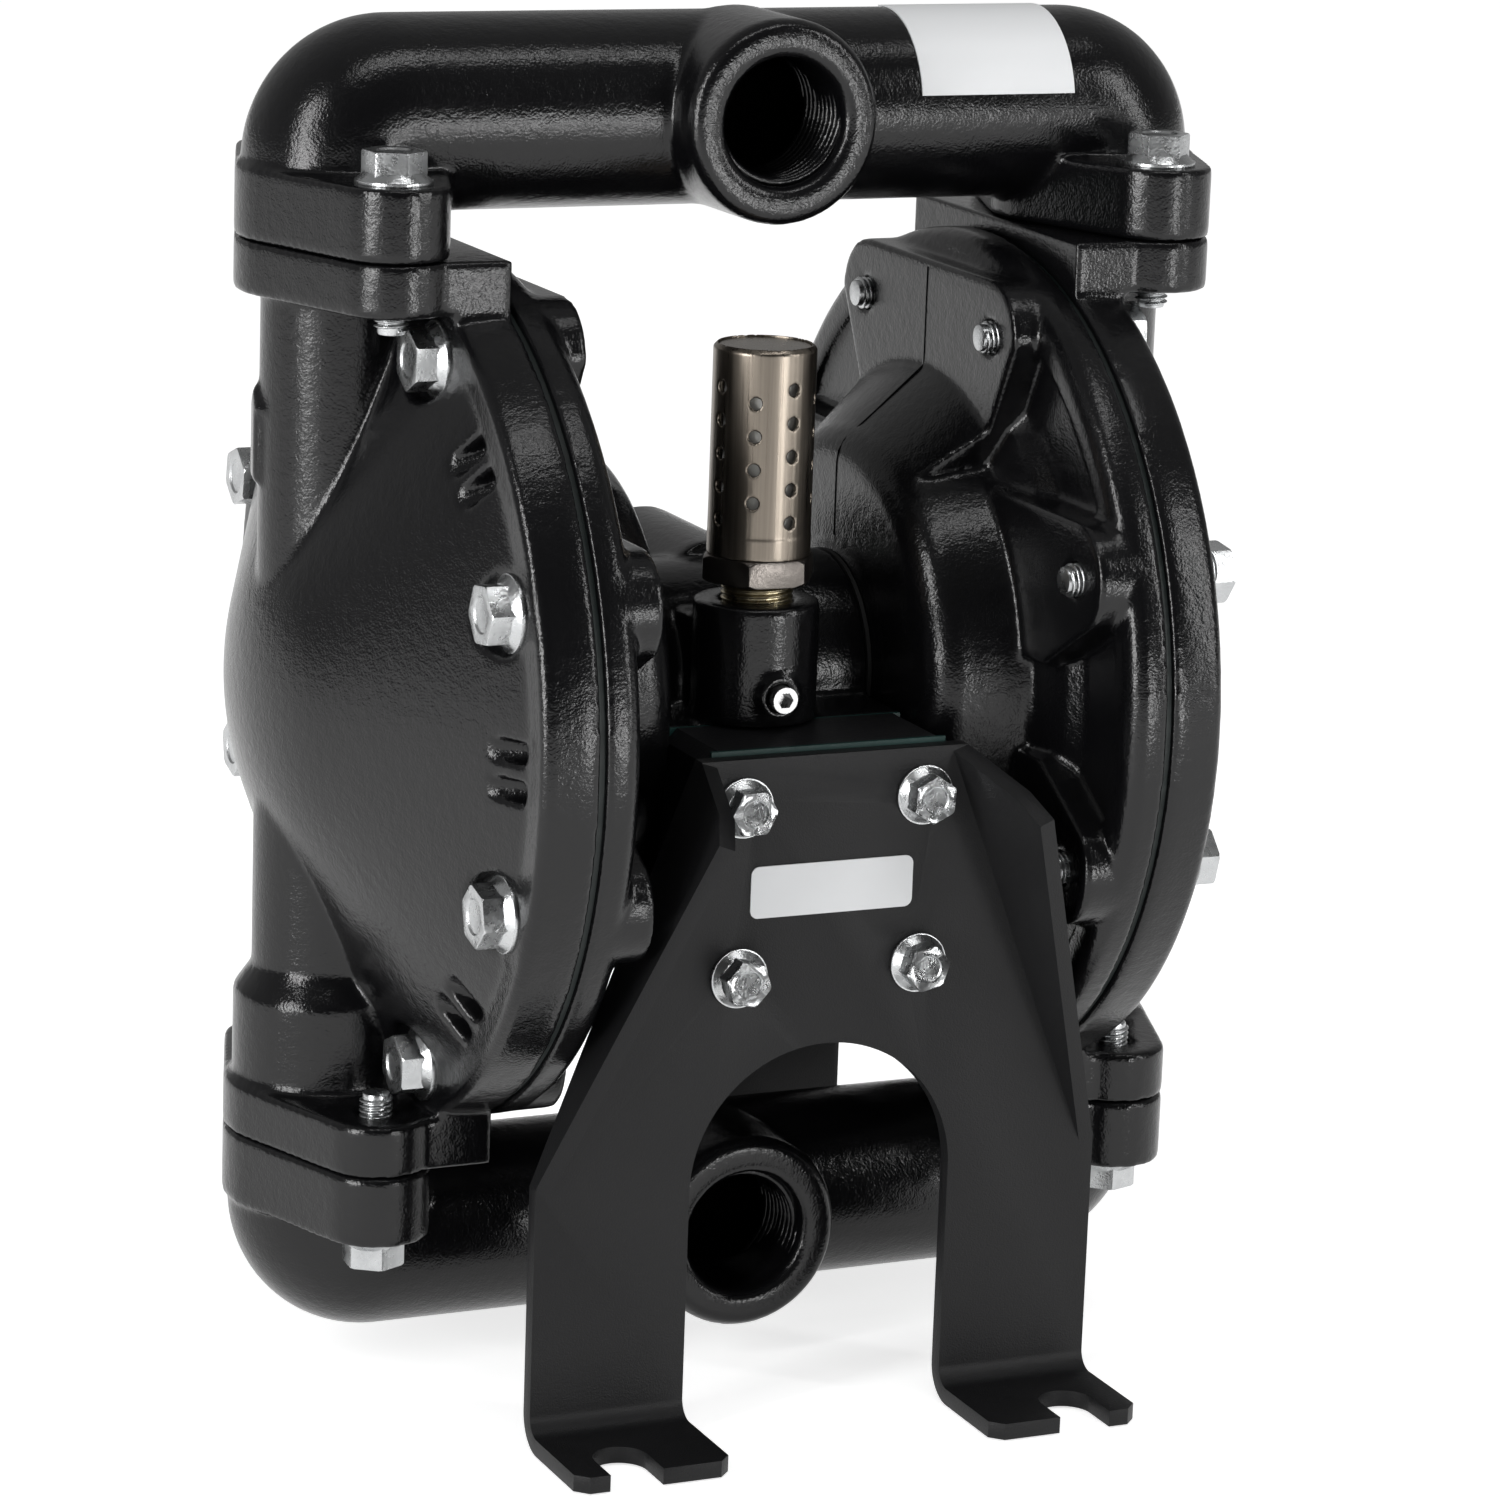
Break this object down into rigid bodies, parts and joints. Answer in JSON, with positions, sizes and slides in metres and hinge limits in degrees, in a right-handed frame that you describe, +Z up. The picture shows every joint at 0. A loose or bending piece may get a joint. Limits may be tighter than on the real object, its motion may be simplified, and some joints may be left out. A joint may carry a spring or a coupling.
{
  "type": "air-operated double diaphragm pump",
  "caption": "Compact air-operated diaphragm pump with twin domed chambers, straight inlet and outlet manifolds, arched sheet feet and a perforated exhaust muffler.",
  "frame": {"origin": "on the floor under the middle of the pump", "axes": "+X along the diaphragm shaft, -Y towards the liquid ports, +Z up"},
  "size_m": [0.2442, 0.2082, 0.3282],
  "materials": {
    "cast": "gloss black paint on cast surfaces",
    "bracket": "satin black powder coat",
    "zinc": "bright zinc plate",
    "steel": "machined steel",
    "nickel": "brushed nickel plate",
    "valve_paint": "satin black paint",
    "gasket": "matt dark green rubber",
    "rubber": "matt black rubber",
    "plastic": "white engineering plastic",
    "bronze": "plain bronze",
    "alloy": "turned aluminium",
    "label": "bare white film"
  },
  "bodies": {
    "casing": {"center_housing": "cast", "left_air_cover": "cast", "right_air_cover": "cast", "left_fluid_cover": "cast", "right_fluid_cover": "cast", "outlet_manifold": "cast", "inlet_manifold": "cast", "front_bracket": "bracket", "rear_bracket": "bracket", "left_cover_bolts": "zinc", "right_cover_bolts": "zinc", "outlet_manifold_bolts": "zinc", "inlet_manifold_bolts": "zinc", "front_bracket_bolts": "zinc", "rear_bracket_bolts": "zinc", "left_air_cover_screws": "zinc", "right_air_cover_screws": "zinc", "boss_plug": "steel", "muffler_fitting": "steel", "muffler_body": "nickel", "muffler_end_disc": "nickel", "valve_body": "valve_paint", "left_diaphragm": "gasket", "right_diaphragm": "gasket", "valve_front_gasket": "gasket", "valve_rear_gasket": "gasket", "left_air_gasket": "gasket", "right_air_gasket": "gasket", "shaft_seals": "rubber", "inlet_seat_rings": "rubber", "outlet_seat_rings": "rubber", "left_inlet_seat": "plastic", "right_inlet_seat": "plastic", "left_outlet_seat": "plastic", "right_outlet_seat": "plastic", "muffler_core": "plastic", "shaft_bushes": "bronze", "valve_sleeve": "bronze", "valve_end_caps": "alloy", "bracket_label": "label", "manifold_tag": "label"},
    "shaft_assembly": {"diaphragm_shaft": "steel", "left_air_plate": "steel", "right_air_plate": "steel", "left_fluid_plate": "steel", "right_fluid_plate": "steel", "left_shaft_screw": "zinc", "right_shaft_screw": "zinc"},
    "pilot": {"pilot_rod": "steel"},
    "spool": {"valve_spool": "alloy"},
    "left_inlet_check": {"left_inlet_ball": "plastic"},
    "right_inlet_check": {"right_inlet_ball": "plastic"},
    "left_outlet_check": {"left_outlet_ball": "plastic"},
    "right_outlet_check": {"right_outlet_ball": "plastic"}
  },
  "joints": [
    {"name": "shaft_stroke", "type": "slide", "parent": "casing", "child": "shaft_assembly", "axis": [1, 0, 0], "range_m": [-0.01, 0.01], "deforming": ["left_diaphragm", "right_diaphragm"]},
    {"name": "pilot_stroke", "type": "slide", "parent": "casing", "child": "pilot", "axis": [1, 0, 0], "range_m": [-0.004, 0.004]},
    {"name": "spool_stroke", "type": "slide", "parent": "casing", "child": "spool", "axis": [1, 0, 0], "range_m": [-0.005, 0.005]},
    {"name": "left_inlet_lift", "type": "slide", "parent": "casing", "child": "left_inlet_check", "axis": [0, 0, 1], "range_m": [0, 0.006]},
    {"name": "left_outlet_lift", "type": "slide", "parent": "casing", "child": "left_outlet_check", "axis": [0, 0, 1], "range_m": [0, 0.006]},
    {"name": "right_inlet_lift", "type": "slide", "parent": "casing", "child": "right_inlet_check", "axis": [0, 0, 1], "range_m": [0, 0.006]},
    {"name": "right_outlet_lift", "type": "slide", "parent": "casing", "child": "right_outlet_check", "axis": [0, 0, 1], "range_m": [0, 0.006]}
  ],
  "couplings": [
    {"joint": "pilot_stroke", "follows": "shaft_stroke", "ratio": 0.4}
  ]
}
